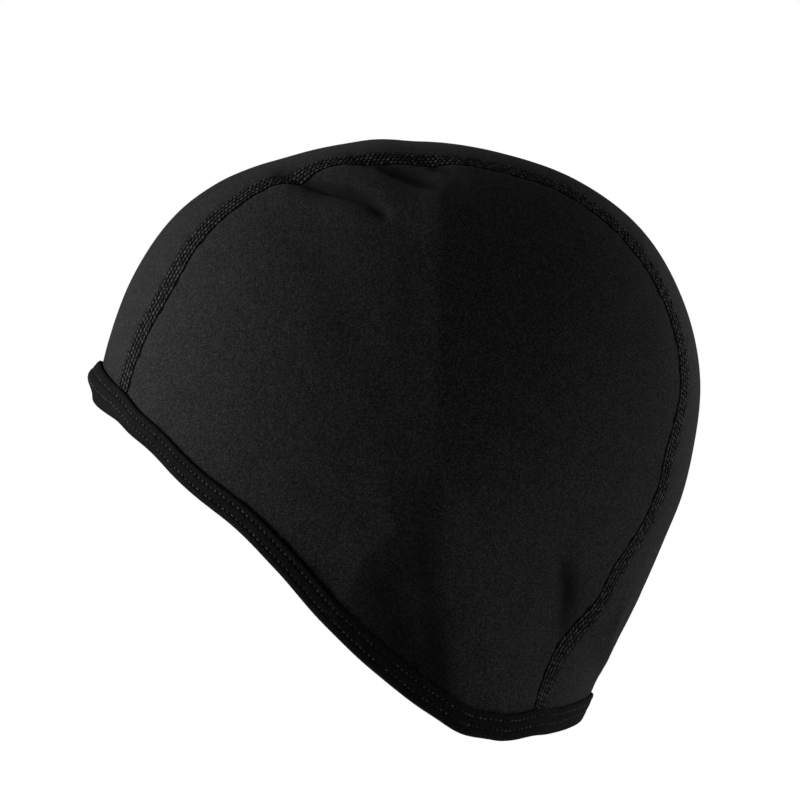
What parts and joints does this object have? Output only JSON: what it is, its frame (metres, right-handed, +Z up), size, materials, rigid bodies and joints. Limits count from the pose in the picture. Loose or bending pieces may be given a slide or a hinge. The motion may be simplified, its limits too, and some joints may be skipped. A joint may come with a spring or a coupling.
{
  "type": "cycling cap",
  "caption": "Close-fitting stretch-cloth cycling cap that covers the ears, in panels joined by flat seams, with a folded band round the opening.",
  "frame": {"origin": "inside of the crown at its highest point, on the middle plane, where the cap sits on a head", "axes": "+Z up, forehead towards -Y, nape towards +Y, wearer's left ear towards +X"},
  "size_m": [0.1602, 0.197, 0.1886],
  "materials": {
    "body_cloth": "black warp-knitted stretch cloth with a faint sheen",
    "seam_thread": "black textured polyester thread, laid flat",
    "band_cloth": "black stretch binding, matt"
  },
  "bodies": {
    "root": {"centre_panel": "body_cloth", "side_panel_left": "body_cloth", "side_panel_right": "body_cloth", "seam_tape_left": "seam_thread", "seam_tape_right": "seam_thread", "edge_band": "band_cloth"}
  },
  "joints": []
}
